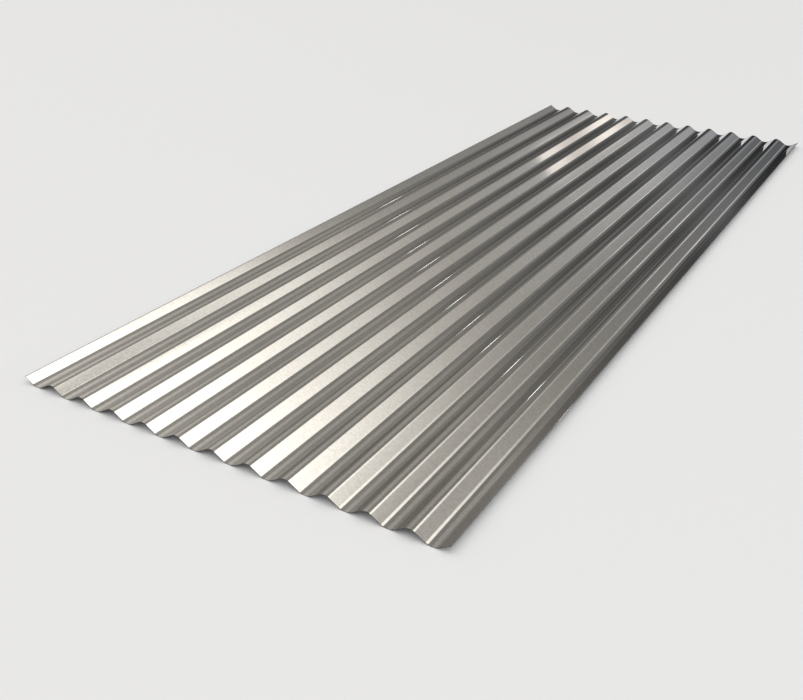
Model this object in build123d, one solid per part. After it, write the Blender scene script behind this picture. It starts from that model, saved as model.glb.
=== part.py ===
from build123d import *
import math
import os

# A corrugated steel sheet, rolled from one flat strip into even waves that run along its length.
# It lies on its troughs, with X across the waves, Y along them and the origin in the middle of its underside.

# Driving sizes, in millimetres
pitch = 76.0  # from one crest to the next
depth = 16.0  # from a trough up to a crest, at the middle of the metal
crest_radius = 17.0  # of the round crests, at the middle of the metal
trough_radius = 24.0  # of the round troughs, which are wider, at the middle of the metal
thickness = 0.8  # of the metal, with its zinc coat
length = 2440.0  # along the waves
trough_count = 12  # both side edges end high, so there is one whole crest fewer
edge_turn = math.radians(6)  # how far each side edge turns into the crest that it falls short of

# A flank is the straight stretch from a crest's bend to a trough's bend, touching both
run = pitch / 2
both_radii = crest_radius + trough_radius
flank = math.sqrt(run**2 + depth**2 - 2 * both_radii * depth)
slope = math.atan2(run, both_radii - depth) - math.atan2(flank, both_radii)

# Heights that the bends turn about
trough_level = thickness / 2
trough_centre_level = trough_level + trough_radius
crest_centre_level = trough_level + depth - crest_radius


def surface_line(offset):
    """One face of the sheet in section, from edge to edge, this far above the middle of the metal."""
    crest_bend = crest_radius + offset
    trough_bend = trough_radius - offset
    trough_corner_height = trough_centre_level - trough_bend / math.cos(slope)
    crest_corner_height = crest_centre_level + crest_bend / math.cos(slope)
    last_crest = trough_count * pitch / 2
    flank_end = last_crest - crest_bend * math.sin(slope)
    flank_end_height = crest_centre_level + crest_bend * math.cos(slope)

    points = [(-flank_end, flank_end_height)]
    radii = []
    for i in range(trough_count):
        trough_x = (i - (trough_count - 1) / 2) * pitch
        points.append((trough_x, trough_corner_height))
        radii.append(trough_bend)
        if i < trough_count - 1:
            points.append((trough_x + pitch / 2, crest_corner_height))
            radii.append(crest_bend)
    points.append((flank_end, flank_end_height))

    waves = FilletPolyline(*points, radius=radii)
    left_edge = JernArc(waves @ 0, -(waves % 0), crest_bend, math.degrees(edge_turn))
    right_edge = JernArc(waves @ 1, waves % 1, crest_bend, -math.degrees(edge_turn))
    return left_edge, right_edge


def corrugated_sheet():
    """The section between the two faces, drawn out along the waves."""
    with BuildPart() as sheet:
        with BuildSketch(Plane.XZ):
            with BuildLine():
                top_left, top_right = surface_line(thickness / 2)
                under_left, under_right = surface_line(-thickness / 2)
                Line(top_left @ 1, under_left @ 1)
                Line(top_right @ 1, under_right @ 1)
            make_face()
        extrude(amount=length / 2, both=True)
    return sheet.part


os.makedirs("parts", exist_ok=True)
export_step(corrugated_sheet(), "parts/corrugated_sheet.step")

half_wave_strip = both_radii * slope + flank
edge_strip = crest_radius * (slope - edge_turn)
strip_width = 2 * trough_count * half_wave_strip - 2 * edge_strip
overall_width = trough_count * pitch - 2 * (crest_radius - thickness / 2) * math.sin(slope - edge_turn)
print(f"flank slope {math.degrees(slope):.2f} degrees, straight flank {flank:.2f} mm")
print(f"overall width {overall_width:.2f} mm, flat strip {strip_width:.1f} mm")
print(f"volume of the flat strip {strip_width * thickness * length:.0f} cubic mm")
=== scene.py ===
"""A corrugated galvanised steel sheet on a pale studio floor.

The sheet is one flat strip, rolled into even waves and sheared to length. Geometry Nodes roll it, from the
same sizes as the solid that it stands for, and the zinc coat follows the strip as it bends. Lengths are in
metres.
"""

import math

import bpy
from bpy.props import FloatProperty, FloatVectorProperty, IntProperty, PointerProperty
from mathutils import Matrix, Vector


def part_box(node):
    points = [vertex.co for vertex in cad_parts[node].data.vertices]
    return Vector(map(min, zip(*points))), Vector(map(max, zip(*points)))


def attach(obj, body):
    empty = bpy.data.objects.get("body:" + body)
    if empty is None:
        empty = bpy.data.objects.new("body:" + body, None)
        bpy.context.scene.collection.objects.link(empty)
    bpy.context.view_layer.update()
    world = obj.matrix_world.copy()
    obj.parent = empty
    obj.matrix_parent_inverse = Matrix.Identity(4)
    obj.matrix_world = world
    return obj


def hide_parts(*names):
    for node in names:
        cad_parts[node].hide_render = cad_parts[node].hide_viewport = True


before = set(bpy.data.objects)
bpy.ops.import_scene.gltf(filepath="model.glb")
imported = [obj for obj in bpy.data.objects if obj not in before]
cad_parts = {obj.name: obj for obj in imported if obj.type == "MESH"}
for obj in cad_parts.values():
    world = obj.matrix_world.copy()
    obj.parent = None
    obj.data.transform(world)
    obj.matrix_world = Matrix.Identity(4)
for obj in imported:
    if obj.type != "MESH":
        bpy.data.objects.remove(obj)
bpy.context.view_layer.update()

bl_info = {
    "name": "Corrugated Sheet",
    "version": (1, 0, 0),
    "blender": (4, 5, 0),
    "location": "3D View > Sidebar > Corrugated Sheet",
    "description": "Rolls a galvanised corrugated sheet and sets it on a studio floor",
    "category": "Object",
}

SHEET_NODE = "corrugated_sheet"
SHEET_LOW, SHEET_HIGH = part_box(SHEET_NODE)
SHEET_SPAN = SHEET_HIGH - SHEET_LOW
METAL_THICKNESS = 0.0008
STRIP_MAP = "strip"
MOST_TRIANGLES = 200_000
WIDTH_TOLERANCE = 0.002


class SheetSizes(bpy.types.PropertyGroup):
    """Sizes of the rolled sheet."""

    pitch: FloatProperty(
        name="Pitch", description="From one crest to the next",
        default=0.076, min=0.02, unit="LENGTH")
    depth: FloatProperty(
        name="Depth", description="From a trough up to a crest, at the middle of the metal",
        default=SHEET_SPAN.z - METAL_THICKNESS, min=0.002, unit="LENGTH")
    crest_radius: FloatProperty(
        name="Crest Radius", description="Radius of the round crests, at the middle of the metal",
        default=0.017, min=0.001, unit="LENGTH")
    trough_radius: FloatProperty(
        name="Trough Radius", description="Radius of the round troughs, at the middle of the metal",
        default=0.024, min=0.001, unit="LENGTH")
    thickness: FloatProperty(
        name="Thickness", description="Thickness of the metal with its zinc coat",
        default=METAL_THICKNESS, min=0.0002, unit="LENGTH")
    length: FloatProperty(
        name="Length", description="Length along the waves",
        default=SHEET_SPAN.y, min=0.1, unit="LENGTH")
    troughs: IntProperty(
        name="Troughs", description="Number of troughs; both side edges end high",
        default=12, min=1)
    edge_turn: FloatProperty(
        name="Edge Turn", description="How far each side edge turns into the crest that it falls short of",
        default=math.radians(6), min=0.0, subtype="ANGLE")
    wander: FloatProperty(
        name="Wander", description="How far the rolls set a crest or trough to one side of its even place",
        default=0.00015, min=0.0, unit="LENGTH")
    lie: FloatProperty(
        name="Lie", description="How far the metal lies above or below its even surface",
        default=0.0002, min=0.0, unit="LENGTH")
    seed: IntProperty(
        name="Seed", description="Picks one set of uneven places",
        default=3, min=0)
    bend_steps: IntProperty(
        name="Bend Steps", description="Points that round each bend",
        default=14, min=1)
    length_steps: IntProperty(
        name="Length Steps", description="Faces along the length",
        default=80, min=1)


class ZincFinish(bpy.types.PropertyGroup):
    """Colours and texture of the zinc coat and the sheared edges."""

    bright_zinc: FloatVectorProperty(
        name="Bright Zinc", description="Colour of the cleanest zinc",
        default=(0.605, 0.60, 0.59), size=3, min=0.0, max=1.0, subtype="COLOR")
    dull_zinc: FloatVectorProperty(
        name="Dull Zinc", description="Colour of zinc that rolling and storage have dulled",
        default=(0.505, 0.497, 0.485), size=3, min=0.0, max=1.0, subtype="COLOR")
    # Both sheared-edge colours are painted shade as well as steel. They are far darker than bare steel so
    # that the cut edges read as a shadowed dark line. The blend between them follows the blade's real scores
    # and darkened patches.
    sheared_steel_and_shade: FloatVectorProperty(
        name="Sheared Steel and Painted Shade", description="Colour of the bare steel along a sheared edge",
        default=(0.11, 0.105, 0.10), size=3, min=0.0, max=1.0, subtype="COLOR")
    darkened_steel_and_shade: FloatVectorProperty(
        name="Darkened Steel and Painted Shade", description="Colour of a sheared edge that has darkened",
        default=(0.03, 0.027, 0.024), size=3, min=0.0, max=1.0, subtype="COLOR")
    crystal_size: FloatProperty(
        name="Crystal Size", description="Width of a zinc crystal",
        default=0.004, min=0.0005, unit="LENGTH")
    line_width: FloatProperty(
        name="Roll Line Width", description="Width of a line that the rolls leave along the strip",
        default=0.0011, min=0.0001, unit="LENGTH")
    line_length: FloatProperty(
        name="Roll Line Length", description="Length over which a roll line fades",
        default=0.9, min=0.01, unit="LENGTH")
    smooth: FloatProperty(
        name="Smoothest", description="Roughness of the brightest zinc",
        default=0.04, min=0.0, max=1.0, subtype="FACTOR")
    rough: FloatProperty(
        name="Roughest", description="Roughness of the dullest zinc",
        default=0.08, min=0.0, max=1.0, subtype="FACTOR")


class StudioStage(bpy.types.PropertyGroup):
    """The floor, the light and the camera."""

    floor_colour: FloatVectorProperty(
        name="Floor", description="Colour of the floor",
        default=(0.74, 0.77, 0.83), size=3, min=0.0, max=1.0, subtype="COLOR")
    floor_reach: FloatProperty(
        name="Floor Reach", description="From the middle of the floor to its edge",
        default=60.0, min=1.0, unit="LENGTH")
    backdrop: FloatVectorProperty(
        name="Backdrop", description="What the camera sees above the floor",
        default=(0.74, 0.74, 0.735), size=3, min=0.0, max=1.0, subtype="COLOR")
    eye: FloatVectorProperty(
        name="Eye", description="Place of the camera",
        default=(0.9239, -2.1644, 0.9038), size=3, subtype="TRANSLATION")
    heading: FloatProperty(
        name="Heading", description="How far the camera looks to the left of the waves",
        default=math.radians(30.785), subtype="ANGLE")
    dip: FloatProperty(
        name="Dip", description="How far the camera looks down",
        default=math.radians(28.457), subtype="ANGLE")
    roll: FloatProperty(
        name="Roll", description="How far the camera leans to the left",
        default=math.radians(0.937), subtype="ANGLE")
    lens: FloatProperty(
        name="Lens", description="Focal length of the camera, in millimetres",
        default=42.485, min=1.0, unit="CAMERA")


class Number:
    """A number in a node tree, so that a formula in nodes reads as a formula."""

    def __init__(self, tree, socket):
        self.tree = tree
        self.socket = socket

    def maths(self, operation, *values):
        node = self.tree.nodes.new("ShaderNodeMath")
        node.operation = operation
        for socket, value in zip(node.inputs, values):
            feed(self.tree, socket, value)
        return Number(self.tree, node.outputs["Value"])

    def __add__(self, other):
        return self.maths("ADD", self, other)

    def __sub__(self, other):
        return self.maths("SUBTRACT", self, other)

    def __mul__(self, other):
        return self.maths("MULTIPLY", self, other)

    def __truediv__(self, other):
        return self.maths("DIVIDE", self, other)

    def __rsub__(self, other):
        return self.maths("SUBTRACT", other, self)

    def __rtruediv__(self, other):
        return self.maths("DIVIDE", other, self)

    __radd__ = __add__
    __rmul__ = __mul__

    def root(self):
        return self.maths("SQRT", self)

    def tangent(self):
        return self.maths("TANGENT", self)

    def cosine(self):
        return self.maths("COSINE", self)

    def rounded(self):
        return self.maths("ROUND", self)

    def angle_over(self, other):
        return self.maths("ARCTAN2", self, other)

    def spread(self, low, high, rule="LINEAR"):
        """This number's stretch from low to high, as 0 to 1."""
        node = self.tree.nodes.new("ShaderNodeMapRange")
        node.interpolation_type = rule
        for name, value in (("Value", self), ("From Min", low), ("From Max", high)):
            feed(self.tree, node.inputs[name], value)
        return Number(self.tree, node.outputs["Result"])

    def eased(self, low, high):
        return self.spread(low, high, "SMOOTHSTEP")

    def between(self, low, high, soft):
        """1 from low to high, and 0 beyond the soft margins outside them."""
        return self.eased(low - soft, low) * (1 - self.eased(high, high + soft))


def feed(tree, socket, value):
    """Links a socket to a number or another socket, or sets it to a plain value."""
    if isinstance(value, Number):
        tree.links.new(value.socket, socket)
    elif isinstance(value, bpy.types.NodeSocket):
        tree.links.new(value, socket)
    else:
        socket.default_value = value


def place(tree, kind, inputs=None, **settings):
    """Adds a node with these settings, and feeds its inputs by name or index."""
    node = tree.nodes.new(kind)
    for name, value in settings.items():
        setattr(node, name, value)
    for name, value in (inputs or {}).items():
        feed(tree, node.inputs[name] if isinstance(name, int) else in_use(node.inputs, name), value)
    return node


def in_use(sockets, name):
    """The socket of this name that the node uses now, where several share the name."""
    return next(socket for socket in sockets if socket.enabled and socket.name == name)


def vector(tree, x=0.0, y=0.0, z=0.0):
    return place(tree, "ShaderNodeCombineXYZ", {"X": x, "Y": y, "Z": z}).outputs["Vector"]


def parts(tree, source):
    node = place(tree, "ShaderNodeSeparateXYZ", {"Vector": source})
    return [Number(tree, socket) for socket in node.outputs]


def scaled(tree, source, amount):
    node = place(tree, "ShaderNodeVectorMath", {0: source, "Scale": amount}, operation="SCALE")
    return node.outputs["Vector"]


ROLLING_SIZES = (
    ("Pitch", "pitch", "NodeSocketFloat"),
    ("Depth", "depth", "NodeSocketFloat"),
    ("Crest Radius", "crest_radius", "NodeSocketFloat"),
    ("Trough Radius", "trough_radius", "NodeSocketFloat"),
    ("Thickness", "thickness", "NodeSocketFloat"),
    ("Length", "length", "NodeSocketFloat"),
    ("Troughs", "troughs", "NodeSocketInt"),
    ("Edge Turn", "edge_turn", "NodeSocketFloat"),
    ("Wander", "wander", "NodeSocketFloat"),
    ("Lie", "lie", "NodeSocketFloat"),
    ("Seed", "seed", "NodeSocketInt"),
    ("Bend Steps", "bend_steps", "NodeSocketInt"),
    ("Length Steps", "length_steps", "NodeSocketInt"),
)
ROLLING_FINISHES = ("Zinc Coat", "Sheared Edge")
CORNERS_BEYOND = 2  # a crest and a trough beyond each side edge, cut away with it
LIE_ACROSS = 0.09  # length over which the lie of the metal changes, across the waves
LIE_ALONG = 0.35  # and along them
LIE_DETAIL = 1.0
MERGE_SHARE = 0.05  # of the thickness, within which points of the two faces are one
SHARP_ANGLE = math.radians(50)


def section_line(tree, given):
    """The middle of the metal in section, from edge to edge, as a curve with rounded bends."""
    pitch, depth = given["Pitch"], given["Depth"]
    crest_radius, trough_radius = given["Crest Radius"], given["Trough Radius"]

    # A flank is the straight stretch from a crest's bend to a trough's bend, touching both
    run = pitch / 2
    both_radii = crest_radius + trough_radius
    flank = (run * run + depth * depth - 2 * both_radii * depth).root()
    slope = run.angle_over(both_radii - depth) - flank.angle_over(both_radii)

    # One sharp corner below each trough and one above each crest, by turns
    index = Number(tree, place(tree, "GeometryNodeInputIndex").outputs["Index"])
    corners_across = 2 * given["Troughs"] - 1 + 2 * CORNERS_BEYOND
    is_crest = index.maths("MODULO", index, 2)
    wander = place(tree, "FunctionNodeRandomValue", {
        "Min": given["Wander"] * -1, "Max": given["Wander"], "ID": index, "Seed": given["Seed"]})
    even_x = (index - (corners_across - 1) / 2) * run
    corner_x = even_x + Number(tree, in_use(wander.outputs, "Value"))
    sharpness = 1 / slope.cosine() - 1
    trough_z = given["Thickness"] / 2 - trough_radius * sharpness
    corner_z = trough_z + (depth + both_radii * sharpness) * is_crest
    corners = place(tree, "GeometryNodeMeshLine", {"Count": corners_across, "Offset": (0.0, 0.0, 0.0)})
    corners = place(tree, "GeometryNodeSetPosition", {
        "Geometry": corners.outputs["Mesh"], "Position": vector(tree, x=corner_x, z=corner_z)})
    line = place(tree, "GeometryNodeMeshToCurve", {"Mesh": corners.outputs["Geometry"]}).outputs["Curve"]
    bent = place(tree, "GeometryNodeFilletCurve", {
        "Curve": line, "Count": given["Bend Steps"],
        "Radius": trough_radius + (crest_radius - trough_radius) * is_crest}, mode="POLY").outputs["Curve"]

    # Each side edge is cut a little way into the crest beyond the last flank
    first_flank = trough_radius * slope.tangent() + flank
    cut = first_flank + crest_radius * (2 * slope - given["Edge Turn"])
    whole = Number(tree, place(tree, "GeometryNodeCurveLength", {"Curve": bent}).outputs["Length"])
    trimmed = place(tree, "GeometryNodeTrimCurve", {
        "Curve": bent, "Start": cut, "End": whole - cut}, mode="LENGTH")
    return trimmed.outputs["Curve"]


def drawn_out(tree, section, given):
    """The section drawn out along the waves, one face thick, with the flat strip as its map."""
    count = place(tree, "GeometryNodeAttributeDomainSize", {"Geometry": section}, component="CURVE")
    columns = Number(tree, count.outputs["Point Count"])

    # The grid is one unit wide, with its middle at zero, so a place across it tells the column
    grid = place(tree, "GeometryNodeMeshGrid", {
        "Size X": 1.0, "Size Y": given["Length"],
        "Vertices X": columns, "Vertices Y": given["Length Steps"] + 1})
    across, along, _ = parts(tree, place(tree, "GeometryNodeInputPosition").outputs["Position"])
    column = ((across + 0.5) * (columns - 1)).rounded()

    strip = place(tree, "GeometryNodeSplineParameter").outputs["Length"]
    strip_here = place(tree, "GeometryNodeSampleIndex", {
        "Geometry": section, "Value": strip, "Index": column})
    strip_map = place(tree, "GeometryNodeStoreNamedAttribute", {
        "Geometry": grid.outputs["Mesh"], "Name": STRIP_MAP}, data_type="FLOAT2", domain="CORNER")
    feed(tree, strip_map.inputs["Value"], vector(tree, x=strip_here.outputs["Value"], y=along))

    point = place(tree, "GeometryNodeInputPosition").outputs["Position"]
    point_here = place(tree, "GeometryNodeSampleIndex", {
        "Geometry": section, "Index": column}, data_type="FLOAT_VECTOR")
    feed(tree, point_here.inputs["Value"], point)
    bent_x, _, bent_z = parts(tree, point_here.outputs["Value"])
    drawn = place(tree, "GeometryNodeSetPosition", {
        "Geometry": strip_map.outputs["Geometry"], "Position": vector(tree, x=bent_x, y=along, z=bent_z)})
    return drawn.outputs["Geometry"]


def uneven(tree, surface, given):
    """The surface with the slight lie of rolled metal, up from the floor."""
    here = place(tree, "GeometryNodeInputPosition").outputs["Position"]
    stretched = place(tree, "ShaderNodeVectorMath", {
        0: here, 1: (1 / LIE_ACROSS, 1 / LIE_ALONG, 0.0)}, operation="MULTIPLY")
    noise = place(tree, "ShaderNodeTexNoise", {
        "Vector": stretched.outputs["Vector"], "W": given["Seed"], "Scale": 1.0, "Detail": LIE_DETAIL},
        noise_dimensions="4D")

    # The noise runs from 0 to 1, and the rise from the lie below to the lie above
    rise = (Number(tree, noise.outputs["Fac"]) - 0.5) * 2 * given["Lie"]
    normal = place(tree, "GeometryNodeInputNormal").outputs["Normal"]
    moved = place(tree, "GeometryNodeSetPosition", {
        "Geometry": surface, "Offset": scaled(tree, normal, rise)})
    lifted = place(tree, "GeometryNodeSetPosition", {
        "Geometry": moved.outputs["Geometry"], "Offset": vector(tree, z=given["Lie"])})
    return lifted.outputs["Geometry"]


def rolling_tree():
    """Rolls a sheet of this pitch, depth and length, with closed edges all round."""
    tree = bpy.data.node_groups.new("Roll forming", "GeometryNodeTree")
    for name, _, kind in ROLLING_SIZES:
        tree.interface.new_socket(name, in_out="INPUT", socket_type=kind)
    for name in ROLLING_FINISHES:
        tree.interface.new_socket(name, in_out="INPUT", socket_type="NodeSocketMaterial")
    tree.interface.new_socket("Sheet", in_out="OUTPUT", socket_type="NodeSocketGeometry")
    sockets = tree.nodes.new("NodeGroupInput").outputs
    given = {name: Number(tree, sockets[name]) for name, _, _ in ROLLING_SIZES}

    surface = uneven(tree, drawn_out(tree, section_line(tree, given), given), given)

    # The underside is half the thickness below the middle, and the top face is drawn up from it
    normal = place(tree, "GeometryNodeInputNormal").outputs["Normal"]
    lower = place(tree, "GeometryNodeSetPosition", {
        "Geometry": surface, "Offset": scaled(tree, normal, given["Thickness"] / -2)}).outputs["Geometry"]
    raised = place(tree, "GeometryNodeExtrudeMesh", {
        "Mesh": lower, "Offset Scale": given["Thickness"], "Individual": False}, mode="FACES")
    underside = place(tree, "GeometryNodeFlipFaces", {"Mesh": lower})
    both = place(tree, "GeometryNodeJoinGeometry")
    tree.links.new(underside.outputs["Mesh"], both.inputs["Geometry"])
    tree.links.new(raised.outputs["Mesh"], both.inputs["Geometry"])
    closed = place(tree, "GeometryNodeMergeByDistance", {
        "Geometry": both.outputs["Geometry"], "Distance": given["Thickness"] * MERGE_SHARE})

    smooth = place(tree, "GeometryNodeSetShadeSmooth", {
        "Geometry": closed.outputs["Geometry"]}, domain="FACE")
    angle = Number(tree, place(tree, "GeometryNodeInputMeshEdgeAngle").outputs["Unsigned Angle"])
    crisp = place(tree, "GeometryNodeSetShadeSmooth", {
        "Geometry": smooth.outputs["Geometry"], "Selection": angle.maths("GREATER_THAN", angle, SHARP_ANGLE),
        "Shade Smooth": False}, domain="EDGE")
    whole = place(tree, "GeometryNodeRealizeInstances", {"Geometry": crisp.outputs["Geometry"]})
    coated = place(tree, "GeometryNodeSetMaterial", {
        "Geometry": whole.outputs["Geometry"], "Material": sockets["Zinc Coat"]})
    sheared = place(tree, "GeometryNodeSetMaterial", {
        "Geometry": coated.outputs["Geometry"], "Selection": raised.outputs["Side"],
        "Material": sockets["Sheared Edge"]})
    place(tree, "NodeGroupOutput", {"Sheet": sheared.outputs["Geometry"]})
    return tree


def rolled_mesh(sizes, finishes):
    """The plain mesh that the rolling tree makes from these sizes and finishes."""
    form = bpy.data.objects.new("rolled_sheet", bpy.data.meshes.new("strip"))
    bpy.context.scene.collection.objects.link(form)
    rolling = form.modifiers.new("Roll forming", "NODES")
    tree = rolling_tree()
    rolling.node_group = tree
    sockets = {item.name: item.identifier for item in tree.interface.items_tree if item.in_out == "INPUT"}
    for name, value_name, _ in ROLLING_SIZES:
        rolling[sockets[name]] = getattr(sizes, value_name)
    for name, material in zip(ROLLING_FINISHES, finishes):
        rolling[sockets[name]] = material

    # Flat flanks keep their own direction up to the bends
    flat_bands = form.modifiers.new("Flat bands", "WEIGHTED_NORMAL")
    flat_bands.keep_sharp = True

    evaluated = form.evaluated_get(bpy.context.evaluated_depsgraph_get())
    mesh = bpy.data.meshes.new_from_object(evaluated)
    form.modifiers.clear()
    form.data = mesh
    mesh.name = form.name
    return form


# What the shared effects give where a finish says nothing else
MARK_DEFAULTS = {"Width": 0.001, "Length": 1.0, "Least": 0.4, "Most": 0.7}
MARK_DETAIL = 2.0
HAZE_DEFAULTS = {"Width": 0.2, "Length": 0.5}
HAZE_DETAIL = 4.0
HAZE_RANGE = (0.3, 0.7)


def effect(name, inputs, outputs):
    """A new shader node group with these number inputs, and the tree with its input and output sockets."""
    tree = bpy.data.node_groups.new(name, "ShaderNodeTree")
    tree.interface.new_socket("Vector", in_out="INPUT", socket_type="NodeSocketVector")
    for label, default in inputs.items():
        socket = tree.interface.new_socket(label, in_out="INPUT", socket_type="NodeSocketFloat")
        socket.default_value = default
    for label in outputs:
        tree.interface.new_socket(label, in_out="OUTPUT", socket_type="NodeSocketFloat")
    return tree, tree.nodes.new("NodeGroupInput").outputs, tree.nodes.new("NodeGroupOutput").inputs


def stretched_noise(tree, source, width, length, detail):
    """Noise on the flat strip, in patches of this width across it and length along it, from 0 to 1."""
    strip_x, strip_y, _ = parts(tree, source)
    noise = place(tree, "ShaderNodeTexNoise", {
        "Vector": vector(tree, x=strip_x / width, y=strip_y / length), "Scale": 1.0, "Detail": detail},
        noise_dimensions="2D")
    return Number(tree, noise.outputs["Fac"])


def streaks_effect():
    """Marks drawn out along the strip, as rolls and shears leave them."""
    tree, given, results = effect("Drawn marks", MARK_DEFAULTS, ["Marks"])
    width, length, least, most = (Number(tree, given[name]) for name in MARK_DEFAULTS)
    marks = stretched_noise(tree, given["Vector"], width, length, MARK_DETAIL).spread(least, most)
    feed(tree, results["Marks"], marks)
    return tree


def haze_effect():
    """Cloudy patches of dulled metal, from handling and storage."""
    tree, given, results = effect("Storage haze", HAZE_DEFAULTS, ["Haze"])
    width, length = (Number(tree, given[name]) for name in HAZE_DEFAULTS)
    haze = stretched_noise(tree, given["Vector"], width, length, HAZE_DETAIL).spread(*HAZE_RANGE)
    feed(tree, results["Haze"], haze)
    return tree


def new_finish(name):
    """A metal material: its tree, its shader and the map of the flat strip."""
    material = bpy.data.materials.new(name)
    material.use_nodes = True
    tree = material.node_tree
    shader = tree.nodes["Principled BSDF"]
    shader.inputs["Metallic"].default_value = 1.0
    strip = place(tree, "ShaderNodeUVMap", uv_map=STRIP_MAP).outputs["UV"]
    return material, tree, shader, strip


def use_effect(tree, group, inputs):
    return place(tree, "ShaderNodeGroup", inputs, node_tree=group)


def blend(tree, share, low, high):
    """A colour between two others."""
    mix = place(tree, "ShaderNodeMix", {"Factor": share, "A": low, "B": high}, data_type="RGBA")
    return in_use(mix.outputs, "Result")


# How much the crystals, the rolls' lines and the patches each dull the zinc
CRYSTAL_SHARE = 0.60
LINE_SHARE = 0.15
PATCH_SHARE = 0.25

# How much the lines and the patches each roughen it
ROUGH_LINE_SHARE = 0.4
ROUGH_PATCH_SHARE = 0.6

# The blade's scores on a sheared edge, its darkened patches and how much each darkens it
EDGE_ROUGHNESS = 0.45
SCORE_WIDTH = 0.0006
SCORE_SHARE = 0.4
EDGE_PATCH_WIDTH = 0.03
EDGE_PATCH_SHARE = 0.6


def zinc_coat(finish, streaks, haze):
    """Satin zinc with fine crystals, lines that the rolls left and cloudy patches."""
    material, tree, shader, strip = new_finish("zinc_coat")
    crystals = place(tree, "ShaderNodeTexVoronoi", {
        "Vector": strip, "Scale": 1 / finish.crystal_size}, voronoi_dimensions="2D")
    crystal, _, _ = parts(tree, crystals.outputs["Color"])
    lines = Number(tree, use_effect(tree, streaks, {
        "Vector": strip, "Width": finish.line_width, "Length": finish.line_length}).outputs["Marks"])
    patches = Number(tree, use_effect(tree, haze, {"Vector": strip}).outputs["Haze"])

    dullness = CRYSTAL_SHARE * crystal + LINE_SHARE * lines + PATCH_SHARE * patches
    colour = blend(tree, dullness, (*finish.bright_zinc, 1.0), (*finish.dull_zinc, 1.0))
    feed(tree, shader.inputs["Base Color"], colour)
    roughening = ROUGH_LINE_SHARE * lines + ROUGH_PATCH_SHARE * patches
    feed(tree, shader.inputs["Roughness"], roughening * (finish.rough - finish.smooth) + finish.smooth)
    return material


def sheared_edge(finish, streaks, haze):
    """Steel along a sheared edge, scored by the blade and darkened in places, with its colour painted far
    darker than bare steel as shade along the cut edge.
    """
    material, tree, shader, strip = new_finish("sheared_edge")
    shader.inputs["Roughness"].default_value = EDGE_ROUGHNESS
    scores = Number(tree, use_effect(tree, streaks, {
        "Vector": strip, "Width": SCORE_WIDTH, "Length": SCORE_WIDTH}).outputs["Marks"])
    patches = Number(tree, use_effect(tree, haze, {
        "Vector": strip, "Width": EDGE_PATCH_WIDTH, "Length": EDGE_PATCH_WIDTH}).outputs["Haze"])
    darkness = SCORE_SHARE * scores + EDGE_PATCH_SHARE * patches
    # Painted shade: both ends of this blend are far darker than bare steel, so the edge reads as a shadowed
    # line.
    colour = blend(tree, darkness, (*finish.sheared_steel_and_shade, 1.0), (*finish.darkened_steel_and_shade, 1.0))
    feed(tree, shader.inputs["Base Color"], colour)
    return material


class CORRUGATED_OT_roll_sheet(bpy.types.Operator):
    """Roll the strip into waves, shear it to length and give it its zinc coat"""

    bl_idname = "corrugated.roll_sheet"
    bl_label = "Roll Sheet"

    def execute(self, context):
        finish = context.scene.zinc_finish
        streaks = streaks_effect()
        haze = haze_effect()
        finishes = (zinc_coat(finish, streaks, haze), sheared_edge(finish, streaks, haze))
        sheet = rolled_mesh(context.scene.sheet_sizes, finishes)

        sheet.data.calc_loop_triangles()
        if len(sheet.data.loop_triangles) > MOST_TRIANGLES:
            raise RuntimeError(f"the sheet has {len(sheet.data.loop_triangles)} triangles")
        width = max(v.co.x for v in sheet.data.vertices) - min(v.co.x for v in sheet.data.vertices)
        if abs(width - SHEET_SPAN.x) > WIDTH_TOLERANCE:
            raise RuntimeError(f"the sheet is {width:.4f} m wide, and its solid {SHEET_SPAN.x:.4f} m")

        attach(sheet, "root")
        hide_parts(SHEET_NODE)
        return {"FINISHED"}


RIGHT_ANGLE = 90.0  # in degrees, where every ramp of tones ends

# Brightness of the studio by swing, the angle in degrees from the far end of the waves
LEFT_TONES = (
    (17, 0.015), (20, 0.06), (22, 0.15), (25, 0.095), (30, 0.14),
    (36, 0.26), (41, 0.43), (48, 0.50), (58, 0.84))
LOW_LEFT_TONES = (
    (17, 0.10), (20, 0.20), (25, 0.17), (28, 0.26), (33, 0.28), (39, 0.39), (48, 0.31), (60, 0.50))
OVERHEAD_TONES = (
    (17, 0.12), (21, 0.20), (25, 0.20), (28, 0.28), (44, 0.30), (56, 0.45))
RIGHT_TONES = (
    (17, 0.45), (20, 0.48), (23, 0.61), (31, 0.53), (35, 0.56), (39, 0.76), (58, 2.75), (72, 1.4))
FAR_RIGHT_TONES = (
    (17, 0.15), (22, 0.24), (35, 0.39), (41, 0.54), (60, 0.8))
FAR_TINT = (0.97, 1.0, 1.055)
NEAR_TINT = (1.045, 1.0, 0.92)
TINT_SWING = (17, 34)

# Brightness behind the camera, by the angle in degrees above the floor
BACK_TONES = ((0, 0.25), (17, 0.50), (37, 0.9), (53, 1.6))
BACK_TO_AHEAD = (0.1, 0.45)  # by the run along the waves

# Where low left, left, overhead, right and far right meet, by the run to the right for each unit of height
LOW_LEFT_TO_LEFT = (-3.2, -2.2)
LEFT_TO_OVERHEAD = (-0.56, -0.32)
OVERHEAD_TO_RIGHT = (0.0, 0.150)
NEAR_RISE = 0.7  # on the camera's side, the low light reaches this much farther right
NEAR_REACH_LEFT = 0.12  # and the light overhead this much farther left
NEAR_REACH_RIGHT = 0.06  # and the bright right starts this much sooner
NEAR_SWING = (38, 50)
RIGHT_TO_FAR_RIGHT = (0.38, 0.54)
LEAST_HEIGHT = 0.05

# A beam across the bright ceiling
BEAM_RUN = (0.105, 0.133)
BEAM_SOFT = 0.005
BEAM_SWING = (41, 57)
BEAM_SHADE = 0.70

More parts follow.
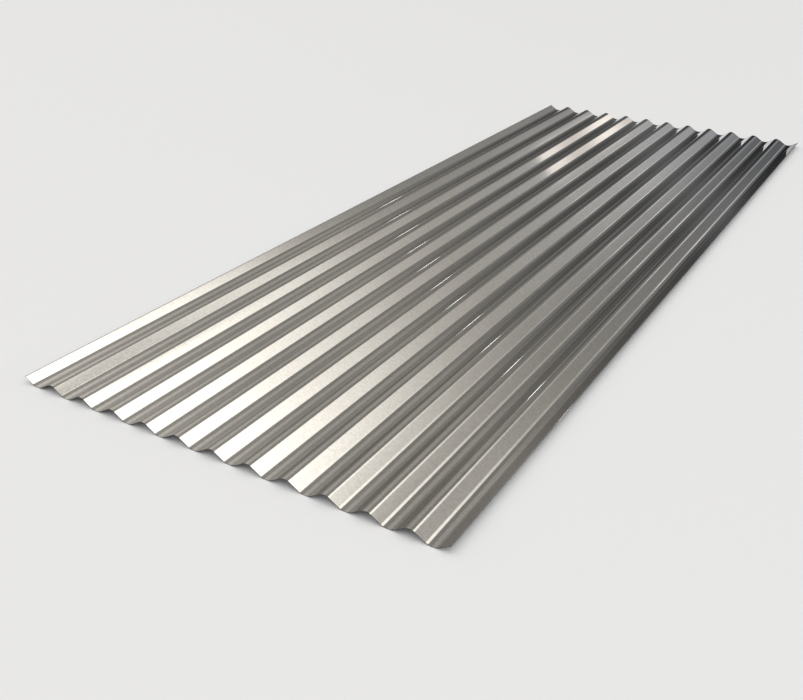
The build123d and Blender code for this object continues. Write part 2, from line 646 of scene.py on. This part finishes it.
# A warm doorway at the far end, with two pale panels
DOOR_RUN = (0.158, 0.226)
DOOR_RUN_SOFT = 0.018
DOOR_SWING = (20.5, 27.6)
DOOR_SWING_SOFT = 0.3
DOOR_TONES = ((22.9, 1.0), (23.2, 1.6), (24.4, 1.6), (24.9, 1.0), (26.2, 0.95), (26.6, 1.4))
DOOR_TINT = (1.04, 0.97, 0.90)

# A bright slit low on the left, which the crests mirror as short glints
SLIT_RUN = (-6.0, -3.4)
SLIT_RUN_SOFT = 0.2
SLIT_SWING = (36.1, 37.1)
SLIT_SWING_SOFT = 0.3
SLIT_COLOUR = (3.4, 3.4, 3.3)

FLOOR_ROUGHNESS = 0.7
FRAME_WIDTH = 36.0  # of the camera's picture, in millimetres
FARTHEST_SEEN = 200.0


def floor_material(stage):
    material = bpy.data.materials.new("pale_floor")
    material.use_nodes = True
    shader = material.node_tree.nodes["Principled BSDF"]
    shader.inputs["Base Color"].default_value = (*stage.floor_colour, 1.0)
    shader.inputs["Roughness"].default_value = FLOOR_ROUGHNESS
    return material


def studio_floor(stage):
    reach = stage.floor_reach
    mesh = bpy.data.meshes.new("floor")
    corners = [(-reach, -reach, 0), (reach, -reach, 0), (reach, reach, 0), (-reach, reach, 0)]
    mesh.from_pydata(corners, [], [(0, 1, 2, 3)])
    mesh.materials.append(floor_material(stage))
    floor = bpy.data.objects.new("floor", mesh)
    bpy.context.scene.collection.objects.link(floor)


def tint_at(swing):
    """Tint of the studio at this swing, cooler towards the far end."""
    far, near = TINT_SWING
    share = min(max((swing - far) / (near - far), 0.0), 1.0)
    return [far_part + (near_part - far_part) * share for far_part, near_part in zip(FAR_TINT, NEAR_TINT)]


def tones(tree, angle, stops, tint=None):
    """Light by an angle in degrees, of one tint or of the tint at each swing."""
    node = place(tree, "ShaderNodeValToRGB", {"Fac": angle / RIGHT_ANGLE})
    ramp = node.color_ramp
    while len(ramp.elements) < len(stops):
        ramp.elements.new(1.0)
    for element, (stop, tone) in zip(ramp.elements, stops):
        element.position = stop / RIGHT_ANGLE
        element.color = (*(tone * part for part in tint or tint_at(stop)), 1.0)
    return node.outputs["Color"]


def studio_light(stage):
    """A studio that is bright on the right and dark on the left; the camera sees only a plain backdrop."""
    world = bpy.data.worlds.new("studio")
    bpy.context.scene.world = world
    world.use_nodes = True
    tree = world.node_tree
    across, along, height = parts(tree, place(tree, "ShaderNodeTexCoord").outputs["Generated"])
    run = across / height.maths("MAXIMUM", height, LEAST_HEIGHT)
    swing = along.maths("ARCCOSINE", along) * math.degrees(1)
    rise = height.maths("ARCSINE", height) * math.degrees(1)

    far_right = tones(tree, swing, FAR_RIGHT_TONES)
    right = blend(tree, run.spread(*RIGHT_TO_FAR_RIGHT), tones(tree, swing, RIGHT_TONES), far_right)
    beam = run.between(*BEAM_RUN, BEAM_SOFT) * swing.eased(*BEAM_SWING)
    right = blend(tree, beam * BEAM_SHADE, right, (0.0, 0.0, 0.0, 1.0))
    door = run.between(*DOOR_RUN, DOOR_RUN_SOFT) * swing.between(*DOOR_SWING, DOOR_SWING_SOFT)
    right = blend(tree, door, right, tones(tree, swing, DOOR_TONES, DOOR_TINT))

    overhead = tones(tree, swing, OVERHEAD_TONES)
    low_left = tones(tree, swing, LOW_LEFT_TONES)
    near = swing.eased(*NEAR_SWING)
    above_low = (run - NEAR_RISE * near).eased(*LOW_LEFT_TO_LEFT)
    left = blend(tree, above_low, low_left, tones(tree, swing, LEFT_TONES))
    left = blend(tree, (run + NEAR_REACH_LEFT * near).eased(*LEFT_TO_OVERHEAD), left, overhead)
    slit = run.between(*SLIT_RUN, SLIT_RUN_SOFT) * swing.between(*SLIT_SWING, SLIT_SWING_SOFT)
    left = blend(tree, slit, left, (*SLIT_COLOUR, 1.0))
    border_start, border_end = OVERHEAD_TO_RIGHT
    across_border = run.spread(border_start, border_end - NEAR_REACH_RIGHT * near)
    ahead = blend(tree, across_border * across_border, left, right)
    back = tones(tree, rise, BACK_TONES, NEAR_TINT)
    lit = blend(tree, along.eased(*BACK_TO_AHEAD), back, ahead)

    seen = place(tree, "ShaderNodeLightPath").outputs["Is Camera Ray"]
    feed(tree, tree.nodes["Background"].inputs["Color"], blend(tree, seen, lit, (*stage.backdrop, 1.0)))


def studio_camera(stage):
    forward = Vector((
        -math.sin(stage.heading) * math.cos(stage.dip),
        math.cos(stage.heading) * math.cos(stage.dip),
        -math.sin(stage.dip)))
    level_right = Vector((math.cos(stage.heading), math.sin(stage.heading), 0.0))
    level_up = level_right.cross(forward)
    right = level_right * math.cos(stage.roll) + level_up * math.sin(stage.roll)
    up = right.cross(forward)
    data = bpy.data.cameras.new("camera")
    data.lens = stage.lens
    data.sensor_width = FRAME_WIDTH
    data.sensor_fit = "HORIZONTAL"
    data.clip_end = FARTHEST_SEEN
    camera = bpy.data.objects.new("camera", data)
    bpy.context.scene.collection.objects.link(camera)
    turn = Matrix((right, up, -forward)).transposed().to_4x4()
    camera.matrix_world = Matrix.Translation(Vector(stage.eye)) @ turn
    bpy.context.scene.camera = camera


class CORRUGATED_OT_set_stage(bpy.types.Operator):
    """Lay the pale floor, light it softly and aim the camera"""

    bl_idname = "corrugated.set_stage"
    bl_label = "Set Stage"

    def execute(self, context):
        stage = context.scene.studio_stage
        studio_floor(stage)
        studio_light(stage)
        studio_camera(stage)
        context.scene.view_settings.view_transform = "Standard"
        return {"FINISHED"}


class CORRUGATED_PT_sidebar(bpy.types.Panel):
    """Sizes, finish and stage of the corrugated sheet"""

    bl_idname = "CORRUGATED_PT_sidebar"
    bl_label = "Corrugated Sheet"
    bl_space_type = "VIEW_3D"
    bl_region_type = "UI"
    bl_category = "Corrugated Sheet"

    def draw(self, context):
        scene = context.scene
        groups = (
            (scene.sheet_sizes, None),
            (scene.zinc_finish, CORRUGATED_OT_roll_sheet),
            (scene.studio_stage, CORRUGATED_OT_set_stage),
        )
        for group, operator in groups:
            column = self.layout.column()
            for name in group.__annotations__:
                column.prop(group, name)
            if operator:
                column.operator(operator.bl_idname)


CLASSES = (
    SheetSizes,
    ZincFinish,
    StudioStage,
    CORRUGATED_OT_roll_sheet,
    CORRUGATED_OT_set_stage,
    CORRUGATED_PT_sidebar,
)


def register():
    for item in CLASSES:
        bpy.utils.register_class(item)
    bpy.types.Scene.sheet_sizes = PointerProperty(type=SheetSizes)
    bpy.types.Scene.zinc_finish = PointerProperty(type=ZincFinish)
    bpy.types.Scene.studio_stage = PointerProperty(type=StudioStage)


def unregister():
    del bpy.types.Scene.studio_stage
    del bpy.types.Scene.zinc_finish
    del bpy.types.Scene.sheet_sizes
    for item in reversed(CLASSES):
        bpy.utils.unregister_class(item)


def main():
    register()
    bpy.ops.corrugated.roll_sheet()
    bpy.ops.corrugated.set_stage()


if __name__ == "__main__":
    main()
